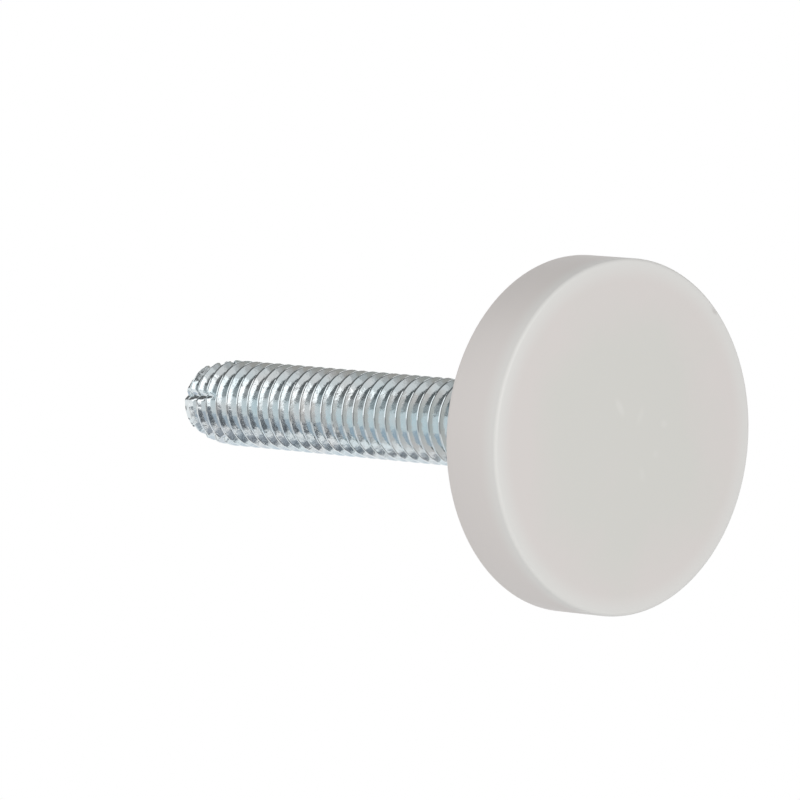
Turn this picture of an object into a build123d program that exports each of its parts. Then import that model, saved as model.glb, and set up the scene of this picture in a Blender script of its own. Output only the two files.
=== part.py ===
from build123d import *

import os
from math import radians, tan

# Appliance leveling foot: a zinc-plated steel stud whose flat hex head is moulded into a round plastic pad.
# Millimetres. +Z runs up the stud, and the origin is the centre of the sole, the face that meets the floor.
# The threaded length is a plain cylinder over the crests. Its end is a rounded point with cutting flutes.

INCH = 25.4

# Pad
pad_diameter = 1.25 * INCH
pad_thickness = 6.4
sole_edge_radius = 0.35
back_edge_radius = 0.4
sole_cover = 1.4  # plastic between the stud's head and the floor
collar_diameter = 11.0  # raised land where the mould shuts off on the stud
collar_height = 0.5
collar_edge_radius = 0.2

# Stud, 5/16-18 UNC
thread_diameter = 7.9  # over the crests, as rolled and plated
neck_diameter = 7.0  # blank under the head, left at the thread's pitch diameter
stud_length = 2.0 * INCH  # from under the head to the end of the point
head_across_flats = 0.5 * INCH
head_height = 2.4
head_edge_chamfer = 0.35

# Thread-cutting point
point_length = 4.5  # the crests curve in over this length
point_end_diameter = 6.3
end_edge_radius = 0.3
flute_count = 5
flute_length = 5.1  # from the end to where a flute runs out on the crests
flute_depth = 0.5  # at the end face
flute_angle = 118.0  # between a flute's two walls
flute_root_radius = 0.2
first_flute_angle = 0.0  # from +X towards +Y

# What follows from the sizes above
thread_radius = thread_diameter / 2
point_end_radius = point_end_diameter / 2
head_top = sole_cover + head_height
collar_top = pad_thickness + collar_height
stud_end = head_top + stud_length
point_start = stud_end - point_length


def hex_head():
    """Flat hexagonal head, chamfered round both faces."""
    outline = RegularPolygon(head_across_flats / 2, 6, major_radius=False)
    head = extrude(Pos(0, 0, sole_cover) * outline, head_height)
    return chamfer(head.edges().filter_by(Plane.XY), head_edge_chamfer)


def turned_blank():
    """Neck, threaded length and rounded point, revolved from one half section."""
    neck_radius = neck_diameter / 2
    shank = Polyline(
        (0, head_top),
        (neck_radius, head_top),
        (neck_radius, collar_top),
        (thread_radius, collar_top),
        (thread_radius, point_start),
    )
    ogive = TangentArc((thread_radius, point_start), (point_end_radius, stud_end), tangent=(0, 1))
    end_face = Polyline((point_end_radius, stud_end), (0, stud_end), (0, head_top))
    section = make_face([shank, ogive, end_face])
    blank = revolve(Plane.XZ * section, Axis.Z)
    end_rim = blank.edges().filter_by(GeomType.CIRCLE).sort_by(Axis.Z)[-1]
    return fillet(end_rim, end_edge_radius)


def flute_cutter():
    """Rounded V, drawn down a line that climbs from the flute's depth at the end to the crests."""
    reach = thread_diameter
    half_width = reach * tan(radians(flute_angle / 2))
    vee = make_face(Polyline((0, 0), (reach, half_width), (reach, -half_width), close=True))
    root = vee.vertices().sort_by(Axis.X)[0]
    vee = fillet(root, flute_root_radius)
    depth_radius = point_end_radius - flute_depth
    slope = (thread_radius - depth_radius) / flute_length
    overrun = end_edge_radius + 0.5  # the cutter starts clear of the end face
    start = Vector(depth_radius - slope * overrun, 0, stud_end + overrun)
    run_out = Vector(thread_radius, 0, stud_end - flute_length)
    climb = run_out - start
    section_plane = Plane(origin=start, x_dir=(1, 0, slope), z_dir=climb)
    return extrude(section_plane * vee, climb.length)


def threaded_stud():
    """The whole stud in one piece, with its flutes cut."""
    stud = hex_head() + turned_blank()
    cutter = flute_cutter()
    for number in range(flute_count):
        turn = first_flute_angle + number * 360 / flute_count
        stud -= Rot(0, 0, turn) * cutter
    return stud


def foot_pad(stud):
    """Disc moulded round the stud, so its hollow is the head and neck themselves."""
    disc = extrude(Circle(pad_diameter / 2), pad_thickness)
    sole_rim = disc.edges().sort_by(Axis.Z)[0]
    disc = fillet(sole_rim, sole_edge_radius)
    back_rim = disc.edges().filter_by(GeomType.CIRCLE).sort_by(Axis.Z)[-1]
    disc = fillet(back_rim, back_edge_radius)
    collar = extrude(Pos(0, 0, pad_thickness) * Circle(collar_diameter / 2), collar_height)
    collar_rim = collar.edges().filter_by(GeomType.CIRCLE).sort_by(Axis.Z)[-1]
    collar = fillet(collar_rim, collar_edge_radius)
    return disc + collar - stud


def main():
    os.makedirs("parts", exist_ok=True)
    stud = threaded_stud()
    pad = foot_pad(stud)
    export_step(stud, "parts/threaded_stud.step")
    export_step(pad, "parts/foot_pad.step")


main()
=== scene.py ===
# %% [markdown]
# # Appliance leveling foot
# A steel stud with a rolled thread stands in a round plastic pad. An appliance is screwed onto the stud,
# and the pad carries it on the floor. The lesson builds two pieces. The stud's thread follows a rule, so
# Geometry Nodes make it, and the pad is turned, like a pot on a wheel. The solid model underneath is the
# frame: it gives every size, and the pieces drawn here take the place of its two plain solids.

# %% Load the frame
from math import cos, pi, radians, sin, tan

import bmesh
import bpy
from mathutils import Matrix, Vector


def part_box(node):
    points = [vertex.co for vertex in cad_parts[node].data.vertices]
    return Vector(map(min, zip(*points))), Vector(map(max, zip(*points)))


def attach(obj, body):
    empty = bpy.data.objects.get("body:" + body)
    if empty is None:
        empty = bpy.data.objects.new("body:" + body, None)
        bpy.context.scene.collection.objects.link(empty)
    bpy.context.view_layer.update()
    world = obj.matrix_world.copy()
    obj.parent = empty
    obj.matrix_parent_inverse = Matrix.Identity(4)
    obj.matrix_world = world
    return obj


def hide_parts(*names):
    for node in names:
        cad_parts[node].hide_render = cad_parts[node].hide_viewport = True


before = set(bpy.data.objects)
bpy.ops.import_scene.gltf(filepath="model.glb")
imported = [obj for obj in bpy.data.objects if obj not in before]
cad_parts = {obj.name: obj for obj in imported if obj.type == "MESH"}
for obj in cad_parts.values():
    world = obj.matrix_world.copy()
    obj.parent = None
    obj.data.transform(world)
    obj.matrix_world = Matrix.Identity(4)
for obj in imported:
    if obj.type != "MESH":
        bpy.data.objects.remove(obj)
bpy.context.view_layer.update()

MM = 0.001
scene = bpy.context.scene
stud_low, stud_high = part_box("threaded_stud")
pad_low, pad_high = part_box("foot_pad")
print("stud", stud_low, stud_high)
print("pad", pad_low, pad_high)

# %% [markdown]
# ## The camera
# The foot is looked at from below and to one side, so the round sole fills the right of the picture and the
# stud runs away to the left. The stand-off is long and so is the lens, as in catalogue work, which keeps the
# circle of the sole nearly true. A camera can be turned by three angles, but here it is built from three
# unit vectors, where it looks, its up and its right, because the lights are stood by the same vectors later.

# %% Camera
view_off_axis = radians(43.72)  # between the line of sight and the stud
view_turn = radians(7.0)  # round the stud, from +X
view_roll = radians(5.02)  # the stud rises this much towards the left of the picture
sole_right, sole_down, sole_away = 19.83 * MM, 3.33 * MM, 812.86 * MM  # the sole's centre from the camera
focal_length = 414.0  # millimetres, on a sensor 36 wide

look = Vector((-sin(view_off_axis) * cos(view_turn), sin(view_off_axis) * sin(view_turn), cos(view_off_axis)))
level_up = Vector((sin(view_turn), cos(view_turn), 0))
camera_up = Matrix.Rotation(-view_roll, 3, look) @ level_up
camera_right = look.cross(camera_up)
camera_axes = Matrix((camera_right, camera_up, -look)).transposed()

camera_data = bpy.data.cameras.new("camera")
camera_data.lens = focal_length
camera_data.sensor_width = 36
camera_data.clip_start = 0.01
camera = bpy.data.objects.new("camera", camera_data)
scene.collection.objects.link(camera)
camera_place = -sole_right * camera_right + sole_down * camera_up - sole_away * look
camera.matrix_world = Matrix.Translation(camera_place) @ camera_axes.to_4x4()
scene.camera = camera
print("camera at", camera_place)


# %% [markdown]
# ## Three small helpers
# Node trees are long to write by hand, so one function adds a node: its settings are named, and its inputs
# are plain values, other nodes or sockets. Colours are written as the hex values a paint chart gives, which
# are sRGB, and one function turns them into the linear light that the shaders count in. The third starts a
# material with nothing in it.

# %% Helpers
MIX_A, MIX_B, MIX_OUT = 6, 7, 2  # a Mix node's colour sockets, by place, because others share their names


def add(tree, kind, inputs=(), **settings):
    """Add one node, with its settings, and fill or link its inputs by place or by name."""
    node = tree.nodes.new(kind)
    for name, value in settings.items():
        setattr(node, name, value)
    pairs = inputs.items() if isinstance(inputs, dict) else enumerate(inputs)
    for key, value in pairs:
        several = isinstance(value, list) and not isinstance(value[0], float)  # a list of numbers is a colour
        for one in value if several else [value]:
            if isinstance(one, bpy.types.Node):
                one = one.outputs[0]
            if isinstance(one, bpy.types.NodeSocket):
                tree.links.new(one, node.inputs[key])
            else:
                node.inputs[key].default_value = one
    return node


def linear(hex_colour):
    """Linear RGBA of an sRGB hex colour."""
    channels = [int(hex_colour[i:i + 2], 16) / 255 for i in (1, 3, 5)]
    return [c / 12.92 if c <= 0.04045 else ((c + 0.055) / 1.055) ** 2.4 for c in channels] + [1.0]


def new_material(name):
    """An empty node material and its tree."""
    material = bpy.data.materials.new(name)
    material.use_nodes = True
    material.node_tree.nodes.clear()
    return material, material.node_tree


print("a grey halfway to white has", round(linear("#808080")[0], 3), "of its light")

# %% [markdown]
# ## The steel of the stud
# The stud is carbon steel, cold headed and thread rolled, then barrel plated with zinc and dipped in a clear
# blue passivate. A painted texture would stretch over the thread, so noise on the object's own coordinates
# makes the finish, at three scales. Over 3 mm the passivate film drifts between a cool blue and a neutral
# grey. Over 0.7 mm the rolled flanks wave a little, which breaks up their reflections. The grain of real
# plating is far too fine to show, so it is drawn at 0.22 mm, where it moves the roughness between 0.09 and
# 0.2. To the eye that is bright, but not a mirror.

# %% Zinc-plated steel
film_drift = 3.0 * MM
flank_wave = 0.7 * MM
plating_grain = 0.22 * MM
wave_height = 2.0  # in heights of the grain
steel_relief = 0.02 * MM
noise_low, noise_high = 0.3, 0.7  # nearly all of a noise lies between these
smoothest, roughest = 0.09, 0.2
zinc, tree = new_material("zinc_plated_steel")
place = add(tree, "ShaderNodeTexCoord").outputs["Object"]
film = add(tree, "ShaderNodeTexNoise", {"Vector": place, "Scale": 1 / film_drift, "Detail": 2.0})
tint = add(tree, "ShaderNodeValToRGB", [film])
for stop, share, colour in zip(tint.color_ramp.elements, (0.35, 0.7), ("#D6E2E6", "#E1E4E5")):
    stop.position = share
    stop.color = linear(colour)
plating = add(tree, "ShaderNodeTexNoise", {"Vector": place, "Scale": 1 / plating_grain, "Detail": 3.0})
rough = add(tree, "ShaderNodeMapRange", [plating, noise_low, noise_high, smoothest, roughest]).outputs[0]
waves = add(tree, "ShaderNodeTexNoise", {"Vector": place, "Scale": 1 / flank_wave, "Detail": 1.0})
relief = add(tree, "ShaderNodeMath", [waves, wave_height, plating], operation="MULTIPLY_ADD")
steel_bump = add(tree, "ShaderNodeBump", {"Strength": 0.5, "Distance": steel_relief, "Height": relief})
steel = add(tree, "ShaderNodeBsdfPrincipled",
            {"Base Color": tint, "Metallic": 1.0, "Roughness": rough, "Normal": steel_bump})
add(tree, "ShaderNodeOutputMaterial", [steel])
print("the steel has", len(tree.nodes), "nodes")

# %% [markdown]
# ## The thread
# A rolled thread is one rule all the way along: the same profile, shifted a pitch for every turn. A Screw
# modifier could sweep that profile, but it can't lower the ridges where a flute crosses them. So Geometry
# Nodes lay out a flat grid. One side is wrapped round the stud, and each column slides along by its share of
# the pitch, so every row of the grid becomes one edge of the thread and the crests stay crisp. First comes
# the profile: pairs of a distance along the stud and a depth below the crest, from one crest to the next.

# %% Thread profile
thread_radius = 3.95 * MM
thread_pitch = 25.4 / 18 * MM  # eighteen ridges to the inch
thread_depth = 0.84 * MM
crest_flat = 0.18 * MM
root_flat = 0.22 * MM
crest_seam = 0.003 * MM  # rolling leaves a faint seam along the crest
edge_round = 0.06 * MM
flank_rows = (0.36, 0.62)  # shares of the flank: two rows inside it keep the walls of the flutes smooth

flank_run = (thread_pitch - crest_flat - root_flat) / 2
half_profile = [
    (0, crest_seam),
    (crest_flat / 2 - edge_round / 2, 0),
    (crest_flat / 2 + edge_round / 2, edge_round / 2),
    *[(crest_flat / 2 + flank_run * share, thread_depth * share) for share in flank_rows],
    (crest_flat / 2 + flank_run - edge_round, thread_depth - edge_round),
    (crest_flat / 2 + flank_run + edge_round / 2, thread_depth),
]
rows_per_pitch = 2 * len(half_profile)
profile = half_profile + [(thread_pitch / 2, thread_depth)]
profile += [(thread_pitch - along, deep) for along, deep in reversed(half_profile)]
print("rows in one pitch:", rows_per_pitch)

# %% [markdown]
# ### Sizes of the stud
# The stud ends in a rounded point with flutes, so that it cuts its own way into sheet metal. They are
# pressed into the blank before the thread is rolled, and no two come out alike, so their lengths differ.
# Hidden in the pad is the head, a hexagon, so that the stud can't turn in the plastic. Every size becomes a
# named input of one node tree, where it can be changed without reading the tree.

# %% Stud sizes
flute_lengths = [5.7 * MM, 5.2 * MM, 5.6 * MM, 5.6 * MM, 6.0 * MM]
stud_sizes = {
    "Crest radius": thread_radius,
    "Pitch": thread_pitch,
    "Thread depth": thread_depth,
    "Thread start": 2.8 * MM,  # inside the head
    "Crest phase": -0.06,  # in turns: it brings the crests to their places along the stud
    "Stud end": stud_high.z,
    "Spare length": 1.05 * MM,  # drawn past the end, to be cut off
    "Point length": 4.5 * MM,
    "Point end radius": 3.15 * MM,
    "Rim chamfer": 0.25 * MM,
    "Low ridge length": 0.3 * MM,  # the dies run off the blank here, so the last ridges are low
    "Low ridge share": 0.65,
    "Full ridge from end": 2.0 * MM,
    "Flute length": max(flute_lengths),
    "Flute depth": 0.5 * MM,
    "Flute angle": radians(85),
    "Flute root flat": 0.03 * MM,
    "Flute root round": 0.15 * MM,
    "Flute shoulder": 0.1 * MM,
    "Ridge in a flute": 0.6,  # the least share of a ridge that a flute leaves
    "Ripple": 0.05 * MM,
    "Ripple in the point": 0.04,  # of the distance into the point, on top
    "Ripple in a flute": 0.3,  # of the flute's depth there, on top
    "Weld distance": 0.004 * MM,  # less than any edge, so only the grid's sides and its ends close up
    "Head bottom": stud_low.z,
    "Head top": 3.8 * MM,
    "Head across flats": 12.7 * MM,
}
stud_counts = {"Flutes": len(flute_lengths), "Steps round": 160, "Rows in a pitch": rows_per_pitch}
print("the stud ends", round(stud_sizes["Stud end"] / MM, 2), "mm above the floor")

# %% [markdown]
# ### The tree and its inputs
# A node tree is made with a socket for each size and count. The thread's profile goes in by another door: a
# Float Curve holds it as points with straight runs between them.


# %% Stud tree
def fill_curve(node, values):
    """Draw straight runs through values, spread evenly from 0 to 1, in a Float Curve."""
    curve = node.mapping.curves[0]
    last = len(values) - 1
    curve.points[0].location = (0, values[0])
    curve.points[1].location = (1, values[last])
    for number in range(1, last):
        curve.points.new(number / last, values[number])
    for point in curve.points:
        point.handle_type = "VECTOR"
    node.mapping.update()


stud_tree = bpy.data.node_groups.new("rolled_thread_stud", "GeometryNodeTree")
for name in stud_sizes:
    stud_tree.interface.new_socket(name, in_out="INPUT", socket_type="NodeSocketFloat")
for name in stud_counts:
    stud_tree.interface.new_socket(name, in_out="INPUT", socket_type="NodeSocketInt")
stud_tree.interface.new_socket("Geometry", in_out="OUTPUT", socket_type="NodeSocketGeometry")
sizes = add(stud_tree, "NodeGroupInput").outputs
print("inputs of the stud tree:", [s.name for s in sizes if s.name])

# %% [markdown]
# ### Rows and columns
# A grid one unit square is laid out first. Across, it gives the turn, 0 to 1 round the stud. Along, it gives
# the row. A row's whole number of pitches and its place within a pitch come from a division with a
# remainder. Two float curves then say how far along the pitch that place lies, and how deep it is. Two
# pitches are spare at each end, because the grid will be slanted by a turn.

# %% Thread rows
spare_pitches = 2.0
span = add(stud_tree, "ShaderNodeMath", [sizes["Stud end"], sizes["Thread start"]], operation="SUBTRACT")
pitches = add(stud_tree, "ShaderNodeMath", [span, sizes["Pitch"]], operation="DIVIDE")
pitches = add(stud_tree, "ShaderNodeMath", [pitches, 2 * spare_pitches], operation="ADD")
pitches = add(stud_tree, "ShaderNodeMath", [pitches], operation="CEIL")
row_count = add(stud_tree, "ShaderNodeMath", [pitches, sizes["Rows in a pitch"]], operation="MULTIPLY")
columns = add(stud_tree, "ShaderNodeMath", [sizes["Steps round"], 1.0], operation="ADD")
rows = add(stud_tree, "ShaderNodeMath", [row_count, 1.0], operation="ADD")
grid = add(stud_tree, "GeometryNodeMeshGrid", [1.0, 1.0, columns, rows])
flat = add(stud_tree, "ShaderNodeSeparateXYZ", [add(stud_tree, "GeometryNodeInputPosition")])
turn = add(stud_tree, "ShaderNodeMath", [flat.outputs["X"], 0.5], operation="ADD")
row = add(stud_tree, "ShaderNodeMath", [flat.outputs["Y"], 0.5], operation="ADD")
row = add(stud_tree, "ShaderNodeMath", [row, row_count], operation="MULTIPLY")
row = add(stud_tree, "ShaderNodeMath", [row], operation="ROUND")
whole = add(stud_tree, "ShaderNodeMath", [row, sizes["Rows in a pitch"]], operation="DIVIDE")
part = add(stud_tree, "ShaderNodeMath", [whole], operation="FRACT")
whole = add(stud_tree, "ShaderNodeMath", [whole], operation="FLOOR")
along = add(stud_tree, "ShaderNodeFloatCurve", [1.0, part])
fill_curve(along, [distance / thread_pitch for distance, deep in profile])
deep_share = add(stud_tree, "ShaderNodeFloatCurve", [1.0, part])
fill_curve(deep_share, [deep / thread_depth for distance, deep in profile])
print("thread rows have", len(stud_tree.nodes), "nodes")

# %% [markdown]
# ### Height
# The height of a vertex is its pitches plus its turn, times the pitch. The turn is what makes the thread
# climb, and climb right-handed. Rows past either end are held at that end, and marked as outside.

# %% Height
climb = add(stud_tree, "ShaderNodeMath", [whole, along], operation="ADD")
climb = add(stud_tree, "ShaderNodeMath", [climb, turn], operation="ADD")
climb = add(stud_tree, "ShaderNodeMath", [climb, sizes["Crest phase"]], operation="ADD")
climb = add(stud_tree, "ShaderNodeMath", [climb, spare_pitches], operation="SUBTRACT")
height = add(stud_tree, "ShaderNodeMath", [climb, sizes["Pitch"], sizes["Thread start"]],
             operation="MULTIPLY_ADD")
thread_end = add(stud_tree, "ShaderNodeMath", [sizes["Stud end"], sizes["Spare length"]], operation="ADD")
above_start = add(stud_tree, "ShaderNodeMath", [height, sizes["Thread start"]], operation="GREATER_THAN")
below_end = add(stud_tree, "ShaderNodeMath", [height, thread_end], operation="LESS_THAN")
inside = add(stud_tree, "ShaderNodeMath", [above_start, below_end], operation="MULTIPLY")
height = add(stud_tree, "ShaderNodeClamp", [height, sizes["Thread start"], thread_end])
to_end = add(stud_tree, "ShaderNodeMath", [sizes["Stud end"], height], operation="SUBTRACT")
print("with heights", len(stud_tree.nodes), "nodes")

# %% [markdown]
# ### The rounded point
# Over the point the crests follow an arc that leaves the cylinder smoothly. The point's length and its drop
# fix the arc: a circle that sinks by the drop over the length has a radius of (length² + drop²) / 2 drop.

# %% Point
drop = add(stud_tree, "ShaderNodeMath", [sizes["Crest radius"], sizes["Point end radius"]],
           operation="SUBTRACT")
length_squared = add(stud_tree, "ShaderNodeMath", [sizes["Point length"], 2.0], operation="POWER")
drop_squared = add(stud_tree, "ShaderNodeMath", [drop, 2.0], operation="POWER")
arc_radius = add(stud_tree, "ShaderNodeMath", [length_squared, drop_squared], operation="ADD")
arc_radius = add(stud_tree, "ShaderNodeMath", [arc_radius, drop], operation="DIVIDE")
arc_radius = add(stud_tree, "ShaderNodeMath", [arc_radius, 0.5], operation="MULTIPLY")
into_point = add(stud_tree, "ShaderNodeMath", [sizes["Point length"], to_end], operation="SUBTRACT")
into_point = add(stud_tree, "ShaderNodeMath", [into_point, 0.0], operation="MAXIMUM")
bend = add(stud_tree, "ShaderNodeMath", [into_point, arc_radius], operation="DIVIDE")
bend = add(stud_tree, "ShaderNodeMath", [bend], operation="ARCSINE")
bend = add(stud_tree, "ShaderNodeMath", [bend], operation="COSINE")
fall = add(stud_tree, "ShaderNodeMath", [bend, 1.0], operation="SUBTRACT")
crest = add(stud_tree, "ShaderNodeMath", [fall, arc_radius, sizes["Crest radius"]],
            operation="MULTIPLY_ADD")
print("with the point", len(stud_tree.nodes), "nodes")

# %% [markdown]
# ### Flutes
# The ridges dip into the flutes and climb out again, so a flute is part of the radius here, and not a cut
# made afterwards. Its floor climbs from its depth at the end to the crests, over a length that a third float
# curve holds for each flute. Its walls open at the flute angle. A smooth maximum rounds its root, and a
# smooth minimum its shoulders.

# %% Flutes
deepest = add(stud_tree, "ShaderNodeMath", [sizes["Point end radius"], sizes["Flute depth"]],
              operation="SUBTRACT")
rise = add(stud_tree, "ShaderNodeMath", [sizes["Crest radius"], deepest], operation="SUBTRACT")
reach = add(stud_tree, "ShaderNodeFloatCurve", [1.0, turn])
fill_curve(reach, [length / max(flute_lengths) for length in flute_lengths + flute_lengths[:1]])
reach = add(stud_tree, "ShaderNodeMath", [reach, sizes["Flute length"]], operation="MULTIPLY")
rise = add(stud_tree, "ShaderNodeMath", [rise, reach], operation="DIVIDE")
flute_floor = add(stud_tree, "ShaderNodeMath", [to_end, rise, deepest], operation="MULTIPLY_ADD")
flute_turns = add(stud_tree, "ShaderNodeMath", [turn, sizes["Flutes"]], operation="MULTIPLY")
off_centre = add(stud_tree, "ShaderNodeMath", [flute_turns, 0.5], operation="PINGPONG")
one_flute = add(stud_tree, "ShaderNodeMath", [2 * pi, sizes["Flutes"]], operation="DIVIDE")
off_centre = add(stud_tree, "ShaderNodeMath", [off_centre, one_flute], operation="MULTIPLY")
off_centre = add(stud_tree, "ShaderNodeMath", [off_centre, crest], operation="MULTIPLY")
half_open = add(stud_tree, "ShaderNodeMath", [sizes["Flute angle"], 0.5], operation="MULTIPLY")
half_open = add(stud_tree, "ShaderNodeMath", [half_open], operation="TANGENT")
wall = add(stud_tree, "ShaderNodeMath", [off_centre, half_open], operation="DIVIDE")
wall = add(stud_tree, "ShaderNodeMath", [wall, sizes["Flute root flat"], sizes["Flute root round"]],
           operation="SMOOTH_MAX")
wall = add(stud_tree, "ShaderNodeMath", [wall, flute_floor], operation="ADD")
fluted = add(stud_tree, "ShaderNodeMath", [crest, wall, sizes["Flute shoulder"]], operation="SMOOTH_MIN")
pressed = add(stud_tree, "ShaderNodeMath", [crest, fluted], operation="SUBTRACT")
print("with flutes", len(stud_tree.nodes), "nodes")

# %% [markdown]
# ### Depth of the ridges
# A row lies below the crests by its share of the thread's depth. The ridges are lower near the end, where
# the dies run off the blank, and in the flutes, where the pressed metal doesn't reach the bottom of the die.

# %% Depth of the ridges
end_share = add(stud_tree, "ShaderNodeMapRange", {
    "Value": to_end, "From Min": sizes["Low ridge length"], "From Max": sizes["Full ridge from end"],
    "To Min": sizes["Low ridge share"], "To Max": 1.0}, interpolation_type="SMOOTHSTEP").outputs[0]
flute_share = add(stud_tree, "ShaderNodeMath", [pressed, sizes["Thread depth"]], operation="DIVIDE")
flute_share = add(stud_tree, "ShaderNodeMath", [1.0, flute_share], operation="SUBTRACT")
flute_share = add(stud_tree, "ShaderNodeMath", [flute_share, sizes["Ridge in a flute"]],
                  operation="MAXIMUM")
depth = add(stud_tree, "ShaderNodeMath", [deep_share, sizes["Thread depth"]], operation="MULTIPLY")
depth = add(stud_tree, "ShaderNodeMath", [depth, end_share], operation="MULTIPLY")
depth = add(stud_tree, "ShaderNodeMath", [depth, flute_share], operation="MULTIPLY")
radius = add(stud_tree, "ShaderNodeMath", [fluted, depth], operation="SUBTRACT")
print("with ridges", len(stud_tree.nodes), "nodes")

# %% [markdown]
# ### Ripples
# Rolled steel is never quite even, least of all at the point, where nothing holds the metal. A noise of about
# 0.6 mm moves the surface in and out by a few hundredths of a millimetre. It has no random draw: the same
# place always gets the same ripple.

# %% Ripples
ripples_to_radius = 7.0  # round the stud, so that one is a little under 0.6 mm
ripple_length = 2 / 3 * MM  # along the stud
angle = add(stud_tree, "ShaderNodeMath", [turn, 2 * pi], operation="MULTIPLY")
round_x = add(stud_tree, "ShaderNodeMath", [angle], operation="COSINE")
round_y = add(stud_tree, "ShaderNodeMath", [angle], operation="SINE")
ripple_place = add(stud_tree, "ShaderNodeCombineXYZ", [round_x, round_y, height])
ripple_place = add(stud_tree, "ShaderNodeVectorMath", [
    ripple_place, (ripples_to_radius, ripples_to_radius, 1 / ripple_length)], operation="MULTIPLY")
ripple = add(stud_tree, "ShaderNodeTexNoise", {"Vector": ripple_place, "Scale": 1.0, "Detail": 1.0})
ripple = add(stud_tree, "ShaderNodeMath", [ripple, 0.5], operation="SUBTRACT")
ripple_size = add(stud_tree, "ShaderNodeMath", [into_point, sizes["Ripple in the point"], sizes["Ripple"]],
                  operation="MULTIPLY_ADD")
ripple_size = add(stud_tree, "ShaderNodeMath", [pressed, sizes["Ripple in a flute"], ripple_size],
                  operation="MULTIPLY_ADD")
radius = add(stud_tree, "ShaderNodeMath", [ripple, ripple_size, radius], operation="MULTIPLY_ADD")
print("with ripples", len(stud_tree.nodes), "nodes")

# %% [markdown]
# ### Wrap the grid round
# Heights and radii now put every vertex in its place. Rows marked as outside shrink to one vertex on the
# axis, and a weld there and along the grid's two sides closes the mesh.

# %% Wrap
radius = add(stud_tree, "ShaderNodeMath", [radius, inside], operation="MULTIPLY")
x = add(stud_tree, "ShaderNodeMath", [radius, round_x], operation="MULTIPLY")
y = add(stud_tree, "ShaderNodeMath", [radius, round_y], operation="MULTIPLY")
wrapped = add(stud_tree, "ShaderNodeCombineXYZ", [x, y, height])
thread = add(stud_tree, "GeometryNodeSetPosition", {"Geometry": grid, "Position": wrapped})
thread = add(stud_tree, "GeometryNodeMergeByDistance",
             {"Geometry": thread, "Distance": sizes["Weld distance"]})
print("wrapped, with", len(stud_tree.nodes), "nodes")

# %% [markdown]
# ### The end
# The blank is sheared and barrel plating softens its rim. A cone with sides at 45 degrees, wide enough to
# hold the whole stud, does both in one cut: its top trims the thread square, and its side bevels the rim.

# %% End
cone_top = add(stud_tree, "ShaderNodeMath", [sizes["Point end radius"], sizes["Rim chamfer"]],
               operation="SUBTRACT")
cone_base = add(stud_tree, "ShaderNodeMath", [cone_top, sizes["Stud end"]], operation="ADD")
cone = add(stud_tree, "GeometryNodeMeshCone", {
    "Vertices": sizes["Steps round"], "Radius Top": cone_top, "Radius Bottom": cone_base,
    "Depth": sizes["Stud end"]})
thread = add(stud_tree, "GeometryNodeMeshBoolean", {"Mesh 2": [thread, cone]},
             operation="INTERSECT", solver="MANIFOLD")
print("trimmed, with", len(stud_tree.nodes), "nodes")

# %% [markdown]
# ### The head
# The head is a cylinder of six sides, joined on at the bottom. Nothing of it shows, so it has no more detail
# than the plastic needs to grip.

# %% Head
corner_radius = add(stud_tree, "ShaderNodeMath", [sizes["Head across flats"], 2 * cos(pi / 6)],
                    operation="DIVIDE")
head_height = add(stud_tree, "ShaderNodeMath", [sizes["Head top"], sizes["Head bottom"]],
                  operation="SUBTRACT")
head_middle = add(stud_tree, "ShaderNodeMath", [head_height, 0.5, sizes["Head bottom"]],
                  operation="MULTIPLY_ADD")
head = add(stud_tree, "GeometryNodeMeshCylinder", {
    "Vertices": 6, "Radius": corner_radius, "Depth": head_height})
head = add(stud_tree, "GeometryNodeTransform", {
    "Geometry": head, "Translation": add(stud_tree, "ShaderNodeCombineXYZ", [0.0, 0.0, head_middle])})
whole_stud = add(stud_tree, "GeometryNodeMeshBoolean", {"Mesh 2": [thread, head]},
                 operation="UNION", solver="MANIFOLD")
print("headed, with", len(stud_tree.nodes), "nodes")

# %% [markdown]
# ### Shading and material
# The flanks are shaded smooth, and only edges that fold by more than 20 degrees stay sharp, which keeps the
# crests crisp. The tree ends with real geometry and its material.

# %% Shading
sharp_fold = radians(20)
smooth = add(stud_tree, "GeometryNodeSetShadeSmooth", {"Geometry": whole_stud})
fold = add(stud_tree, "GeometryNodeInputMeshEdgeAngle")
sharp = add(stud_tree, "ShaderNodeMath", [fold, sharp_fold], operation="GREATER_THAN")
creased = add(stud_tree, "GeometryNodeSetShadeSmooth",
              {"Geometry": smooth, "Selection": sharp, "Shade Smooth": False}, domain="EDGE")
real = add(stud_tree, "GeometryNodeRealizeInstances", {"Geometry": creased})
finished = add(stud_tree, "GeometryNodeSetMaterial", {"Geometry": real, "Material": zinc})
add(stud_tree, "NodeGroupOutput", [finished])
print("the stud tree has", len(stud_tree.nodes), "nodes")


# %% [markdown]
# ### Grow the stud
# A modifier runs the tree on an empty mesh, with each size set by its socket's identifier. What comes out is
# kept as a plain mesh and the modifier is removed, so that any program can open the part.

# %% Grow the stud
def grow(name, tree, values):
    """Run a node tree once, and keep the plain mesh that it makes."""
    piece = bpy.data.objects.new(name, bpy.data.meshes.new(name))
    scene.collection.objects.link(piece)
    modifier = piece.modifiers.new(name, "NODES")
    modifier.node_group = tree
    for item in tree.interface.items_tree:
        if item.in_out == "INPUT":
            modifier[item.identifier] = values[item.name]
    depsgraph = bpy.context.evaluated_depsgraph_get()
    mesh = bpy.data.meshes.new_from_object(piece.evaluated_get(depsgraph), depsgraph=depsgraph)
    piece.modifiers.clear()
    piece.data = mesh
    return piece


stud = grow("stud", stud_tree, {**stud_sizes, **stud_counts})
stud.data.calc_loop_triangles()
print("stud:", len(stud.data.vertices), "vertices,", len(stud.data.loop_triangles), "triangles,",
      stud.dimensions / MM)

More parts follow.
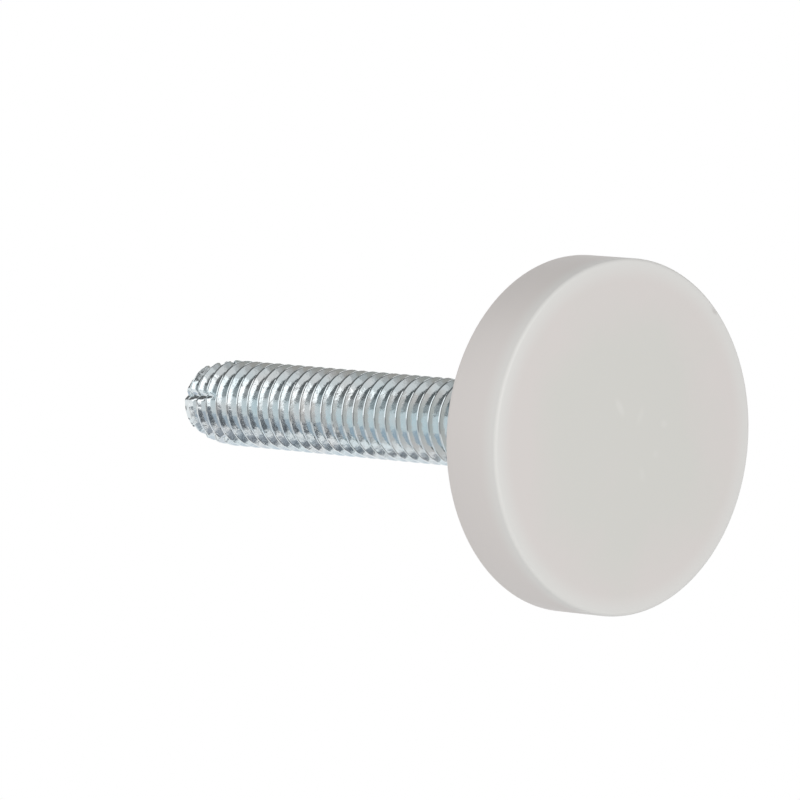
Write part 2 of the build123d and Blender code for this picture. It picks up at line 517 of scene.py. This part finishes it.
# %% [markdown]
# ## The plastic of the pad
# Such pads are moulded in polyethylene or nylon, with a little white and grey pigment. Straight from the
# tool the skin is satin, with a roughness a little under a half. Over 9 mm the flow of the melt clouds the
# colour, warmer towards the rim, and a grain of 0.3 mm breaks up the shine. Light that enters near the sole's
# edge leaves round the corner. Subsurface scattering would show that, but slowly and with more noise than
# so small a change is worth, so the colour is made paler by the distance from the edge.

# %% Moulded plastic
flow_cloud = 9.0 * MM
skin_grain = 0.3 * MM
skin_relief = 0.02 * MM
middle_zone, outer_zone = 7.0 * MM, 15.0 * MM  # radii
middle_shift, outer_shift = -0.25, 0.35  # added to the cloud there, to lean to one colour or the other
pad_radius = pad_high.x
glow_from, glow_to = 0.2 * MM, 2.2 * MM
plastic, tree = new_material("moulded_plastic")
place = add(tree, "ShaderNodeTexCoord").outputs["Object"]
cloud = add(tree, "ShaderNodeTexNoise", {"Vector": place, "Scale": 1 / flow_cloud, "Detail": 3.0})
from_axis = add(tree, "ShaderNodeVectorMath", [place, (1.0, 1.0, 0.0)], operation="MULTIPLY")
from_axis = add(tree, "ShaderNodeVectorMath", [from_axis], operation="LENGTH").outputs["Value"]
outer = add(tree, "ShaderNodeMapRange", [from_axis, middle_zone, outer_zone, middle_shift, outer_shift])
flow = add(tree, "ShaderNodeMath", [cloud, outer], operation="ADD")
shade = add(tree, "ShaderNodeValToRGB", [flow])
for stop, share, colour in zip(shade.color_ramp.elements, (0.35, 0.75), ("#D5D4CF", "#D9D4D1")):
    stop.position = share
    stop.color = linear(colour)
above_sole = add(tree, "ShaderNodeSeparateXYZ", [place]).outputs["Z"]
to_edge = add(tree, "ShaderNodeMath", [from_axis, pad_radius], operation="SUBTRACT")
to_edge = add(tree, "ShaderNodeCombineXYZ", [to_edge, above_sole])
to_edge = add(tree, "ShaderNodeVectorMath", [to_edge], operation="LENGTH").outputs["Value"]
glow = add(tree, "ShaderNodeMapRange", [to_edge, glow_from, glow_to, 1.0, 0.0],
           interpolation_type="SMOOTHSTEP").outputs[0]
shade = add(tree, "ShaderNodeMix", {"Factor": glow, MIX_A: shade, MIX_B: linear("#DDDCD9")},
            data_type="RGBA").outputs[MIX_OUT]
print("the plastic has", len(tree.nodes), "nodes so far")

# %% [markdown]
# ### Marks on the sole
# The pads lie loose in a bin, so the sole has a few pale rubs, and a bruise near its edge. Each mark is a
# soft ellipse: a Mapping node turned round, which puts a point's place into the mark's own lengths, so that
# its edge is at a distance of 1.

# %% Marks on the sole
pale, dark = "#EEEDEA", "#A8A19C"
marks = [  # middle on the sole, half its length and width, all in mm; turn in degrees; strength; colour
    ((1.2, 2.5), (1.0, 0.4), 45, 0.2, pale),
    ((-1.5, 2.2), (1.0, 0.4), 100, 0.1, pale),
    ((-4.6, 2.1), (0.5, 0.4), 0, 0.14, pale),
    ((-4.2, -0.7), (0.4, 0.4), 30, 0.1, pale),
    ((-3.0, -2.8), (0.7, 0.4), 60, 0.1, pale),
    ((-8.4, 13.0), (0.45, 0.22), 30, 0.35, dark),
]
mark_depth = 0.5  # mm above the sole, which is as far as a mark goes up the edge
mark_from, mark_to = 1.3, 0.2  # it fades in between these distances
for (x_mm, y_mm), (half_length, half_width), turned, strength, colour in marks:
    spot = add(tree, "ShaderNodeMapping", {
        "Vector": place, "Location": (x_mm * MM, y_mm * MM, 0), "Rotation": (0, 0, radians(turned)),
        "Scale": (half_length * MM, half_width * MM, mark_depth * MM)}, vector_type="TEXTURE")
    spot = add(tree, "ShaderNodeVectorMath", [spot], operation="LENGTH").outputs["Value"]
    spot = add(tree, "ShaderNodeMapRange", [spot, mark_from, mark_to, 0.0, strength],
               interpolation_type="SMOOTHSTEP").outputs[0]
    shade = add(tree, "ShaderNodeMix", {"Factor": spot, MIX_A: shade, MIX_B: linear(colour)},
                data_type="RGBA").outputs[MIX_OUT]
print(len(marks), "marks on the sole")

# %% [markdown]
# ### The skin
# The same clouding that colours the plastic changes its shine, between a roughness of 0.42 and 0.5, because
# where the melt cooled slower it copied the tool less well. The grain is a bump of a hundredth of a
# millimetre or so.

# %% Skin of the plastic
slick, matt = 0.42, 0.5
skin = add(tree, "ShaderNodeMapRange", [cloud, noise_low, noise_high, slick, matt]).outputs[0]
skin_noise = add(tree, "ShaderNodeTexNoise", {"Vector": place, "Scale": 1 / skin_grain, "Detail": 2.0})
skin_bump = add(tree, "ShaderNodeBump", {"Strength": 0.1, "Distance": skin_relief, "Height": skin_noise})
body = add(tree, "ShaderNodeBsdfPrincipled", {"Base Color": shade, "Roughness": skin, "Normal": skin_bump})
add(tree, "ShaderNodeOutputMaterial", [body])
print("the plastic has", len(tree.nodes), "nodes")

# %% [markdown]
# ## The pad
# A disc with rounded rims is a turned shape, so its half section is drawn once and spun about the stud. It
# could be a cylinder with a Bevel modifier, but the section also takes in the low collar round the stud and
# the hollow that grips the head. The mould rounds the sole's rim a little less than the back's.

# %% Half section of the pad
pad_thickness = 6.4 * MM
sole_edge = 0.35 * MM
back_edge = 0.4 * MM
collar_radius = 5.5 * MM
collar_edge = 0.2 * MM
grip_radius = 2.9 * MM  # inside the thread, because the plastic fills it
hollow_radius = 7.34 * MM  # just past the corners of the head
hollow_floor, hollow_top = stud_sizes["Head bottom"], stud_sizes["Head top"]
sole_rings = (0.25, 0.5, 0.75, 0.92)  # shares of the radius: rings that keep the flat faces compact
back_ring = 0.7


def rim(centre_r, centre_z, radius, start, turn_by=90, steps=6):
    """Points of an arc in the half section, angles in degrees from straight out."""
    angles = [radians(start + turn_by * k / steps) for k in range(steps + 1)]
    return [(centre_r + radius * cos(a), centre_z + radius * sin(a)) for a in angles]


section = [(0, 0)]
section += [(pad_radius * share, 0) for share in sole_rings]
section += rim(pad_radius - sole_edge, sole_edge, sole_edge, -90)
section += rim(pad_radius - back_edge, pad_thickness - back_edge, back_edge, 0)
section += [(pad_radius * back_ring, pad_thickness), (collar_radius, pad_thickness)]
section += rim(collar_radius - collar_edge, pad_high.z - collar_edge, collar_edge, 0)
section += [(grip_radius, pad_high.z), (grip_radius, hollow_top), (hollow_radius, hollow_top)]
section += [(hollow_radius, hollow_floor), (0, hollow_floor)]
print("the half section has", len(section), "points")

# %% [markdown]
# ### Spin the section
# A spin leaves its first and last profile in one place, and can turn a shape inside out. So the doubles are
# merged first, and then the normals are recalculated to face outwards.

# %% Spin
spin_steps = 256
double_distance = 0.0005 * MM
sharp_rim = radians(40)
pad_mesh = bpy.data.meshes.new("pad")
shell = bmesh.new()
ring = [shell.verts.new((r, 0, z)) for r, z in section]
edges = [shell.edges.new(pair) for pair in zip(ring, ring[1:])]
bmesh.ops.spin(shell, geom=ring + edges, axis=(0, 0, 1), cent=(0, 0, 0), angle=2 * pi, steps=spin_steps)
bmesh.ops.remove_doubles(shell, verts=shell.verts, dist=double_distance)
bmesh.ops.recalc_face_normals(shell, faces=shell.faces)
shell.to_mesh(pad_mesh)
shell.free()
pad_mesh.shade_smooth()
pad_mesh.set_sharp_from_angle(angle=sharp_rim)
pad_mesh.materials.append(plastic)
pad = bpy.data.objects.new("pad", pad_mesh)
scene.collection.objects.link(pad)
print("pad:", len(pad_mesh.vertices), "vertices,", pad.dimensions / MM)

# %% [markdown]
# ## The floor
# The foot stands on a pale floor, a hair below the sole. Seen from below, the floor must not hide the sole,
# so its material is clear on its under side: that is what the Backfacing output is for. It throws no shadow
# and no light on the foot, and bright steel doesn't mirror it, so it stays a backdrop.

# %% Floor
floor_gap = 0.1 * MM
floor_width = 3.0
ground, tree = new_material("pale_floor")
paper = add(tree, "ShaderNodeBsdfPrincipled", {"Base Color": linear("#E4E3E0"), "Roughness": 0.6})
clear = add(tree, "ShaderNodeBsdfTransparent")
under = add(tree, "ShaderNodeNewGeometry").outputs["Backfacing"]
both = add(tree, "ShaderNodeMixShader", [under, paper, clear])
add(tree, "ShaderNodeOutputMaterial", [both])
bpy.ops.mesh.primitive_plane_add(size=floor_width, location=(0, 0, -floor_gap))
floor = bpy.context.object
floor.name = "floor"
floor.data.materials.append(ground)
floor.visible_shadow = False
floor.visible_diffuse = False
floor.visible_glossy = False
print("the floor is", floor.dimensions.x, "m wide")

# %% [markdown]
# ## The world
# The background is white to the eye, in reflections and through glass. As a light it is dimmer, so that the
# pale plastic is lit about as its colour is written. Light Path tells the one use from the other.

# %% World
world_light = 0.63
world = bpy.data.worlds.new("studio")
scene.world = world
world.use_nodes = True
tree = world.node_tree
tree.nodes.clear()
ray = add(tree, "ShaderNodeLightPath").outputs
seen = add(tree, "ShaderNodeMath", [ray["Is Camera Ray"], ray["Is Glossy Ray"]], operation="MAXIMUM")
seen = add(tree, "ShaderNodeMath", [seen, ray["Is Transmission Ray"]], operation="MAXIMUM")
strength = add(tree, "ShaderNodeMapRange", [seen, 0.0, 1.0, world_light, 1.0])
white = add(tree, "ShaderNodeBackground", [linear("#FFFFFF"), strength])
add(tree, "ShaderNodeOutputWorld", [white])
print("the world gives", world_light, "of white as a light")


# %% [markdown]
# ## Lamps and cards
# Plastic needs light to fall on it, but bright metal shows only what it mirrors. A product studio has both:
# soft boxes for the first, and for the second, cards of many greys stood round the object. These cards are
# seen in reflections alone. They throw no light and no shadow. One function stands anything at angles from
# the camera's line, across to the right and up, which is how such a set is laid out by eye.

# %% Stand, soft box and card
def stand(thing, across, up, distance):
    """Stand a lamp or card at angles from the camera's line, turned to the middle of the stud."""
    across, up = radians(across), radians(up)
    outwards = cos(up) * (sin(across) * camera_right - cos(across) * look) + sin(up) * camera_up
    sideways = cos(across) * camera_right + sin(across) * look
    turned = Matrix((sideways, outwards.cross(sideways), outwards)).transposed()
    middle = Vector((0, 0, stud_high.z / 2))
    thing.matrix_world = Matrix.Translation(middle + distance * outwards) @ turned.to_4x4()


def side_length(spread, distance):
    """The side that spans an angle, in degrees, at a distance."""
    return 2 * distance * tan(radians(spread / 2))


def soft_box(name, across, up, spread, distance, brightness):
    """A square area lamp that looks as bright as brightness times the white of the world."""
    lamp = bpy.data.lights.new(name, "AREA")
    lamp.shape = "SQUARE"
    lamp.size = side_length(spread, distance)
    lamp.energy = brightness * pi * lamp.size ** 2
    box = bpy.data.objects.new(name, lamp)
    scene.collection.objects.link(box)
    box.visible_camera = False
    stand(box, across, up, distance)
    return box


def card(name, across, up, wide, tall, distance, brightness, colour):
    """A card seen in reflections alone, its brightness 0 for black and 1 for the white of the world."""
    half_wide, half_tall = side_length(wide, distance) / 2, side_length(tall, distance) / 2
    corners = [(x * half_wide, y * half_tall, 0) for x, y in ((-1, -1), (1, -1), (1, 1), (-1, 1))]
    card_mesh = bpy.data.meshes.new(name)
    card_mesh.from_pydata(corners, [], [(0, 1, 2, 3)])
    board, tree = new_material(name)
    add(tree, "ShaderNodeOutputMaterial", [add(tree, "ShaderNodeEmission", [linear(colour), brightness])])
    card_mesh.materials.append(board)
    panel = bpy.data.objects.new(name, card_mesh)
    scene.collection.objects.link(panel)
    stand(panel, across, up, distance)
    panel.visible_camera = False
    panel.visible_diffuse = False
    panel.visible_shadow = False
    panel.visible_transmission = False


print("a box spanning 40 degrees at 0.6 m is", round(side_length(40, 0.6), 2), "m wide")

# %% [markdown]
# ### Light the pad
# One large box beside the camera lights the sole, and a weak one on the left opens the side. The third stands
# behind, over the stud's end, and lights the back of the pad for anyone who looks from above. The steel
# mirrors none of them, because in it they would burn out to white.

# %% Soft boxes
front = soft_box("front_box", 10, -3, 40, 0.6, 2.4)
fill = soft_box("fill_box", -50, 12, 30, 0.8, 0.22)
top = soft_box("top_box", -156, 2, 40, 0.6, 2.3)
for box in (front, fill, top):
    box.visible_glossy = False
print("boxes:", front.name, fill.name, top.name)

# %% [markdown]
# ### Cards for the steel
# Each flank of the thread mirrors one part of the room. From the right and above come the bright run along
# the near side and the greys over it, from below and the right the dark patches of the lower half, and
# from the far left the lit lines along the crests. Three cards stand nearer than the rest: the wedge, the
# corner and the point card. From there they look different from each end of the stud, so they shade its
# point more than its root. Those low down are a cool white, because blue passivate and daylight go together.

# %% Cards
plain, cool, cooler, warm = "#FFFFFF", "#F4F8FF", "#EAF3FF", "#FFFBF4"
cards = [  # across, up, wide and tall in degrees; distance in metres; brightness; colour
    ("key_card", 33, 20, 42, 42, 0.5, 1.5, plain),
    ("wing_card", 62, 36, 26, 40, 0.45, 0.78, plain),
    ("wing_edge_card", 80, 38, 16, 40, 0.46, 0.5, plain),
    ("wedge_card", 46, 24, 14, 9, 0.25, 0.16, plain),
    ("side_card", 112, 38, 60, 44, 0.47, 0.4, warm),
    ("ceiling_card", 0, 90, 127, 110, 0.7, 0.14, plain),
    ("low_card", 30, -13, 40, 20, 0.45, 0.23, cooler),
    ("lower_card", 36, -27, 30, 14, 0.44, 0.14, cooler),
    ("corner_card", 60, -54, 15, 17, 0.107, 0.22, cooler),
    ("point_card", 36, -56, 22, 16, 0.09, 0.42, cooler),
    ("rear_low_card", 118, -55, 40, 30, 0.45, 0.85, cool),
    ("table_card", 0, -84, 40, 40, 0.45, 0.14, plain),
    ("camera_card", -37, 5, 24, 60, 0.45, 0.2, plain),
    ("crest_card", -98, 27, 34, 48, 0.45, 1.3, plain),
    ("crest_low_card", -98, -21, 34, 46, 0.45, 0.6, plain),
    ("left_top_card", -70, 63, 50, 26, 0.45, 0.2, plain),
    ("left_high_card", -70, 38, 40, 20, 0.45, 0.5, plain),
    ("left_low_card", -64, -46, 30, 36, 0.45, 0.7, cooler),
]
for settings in cards:
    card(*settings)
scene.view_settings.view_transform = "Standard"
print(len(cards), "cards")

# %% [markdown]
# ## Put the pieces in the frame
# Each drawn piece rides on the one body and stands for its solid, which is hidden.

# %% Frame calls
for piece, node, slot in ((stud, "threaded_stud", "stud_steel"), (pad, "foot_pad", "pad_plastic")):
    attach(piece, "root")
    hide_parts(node)
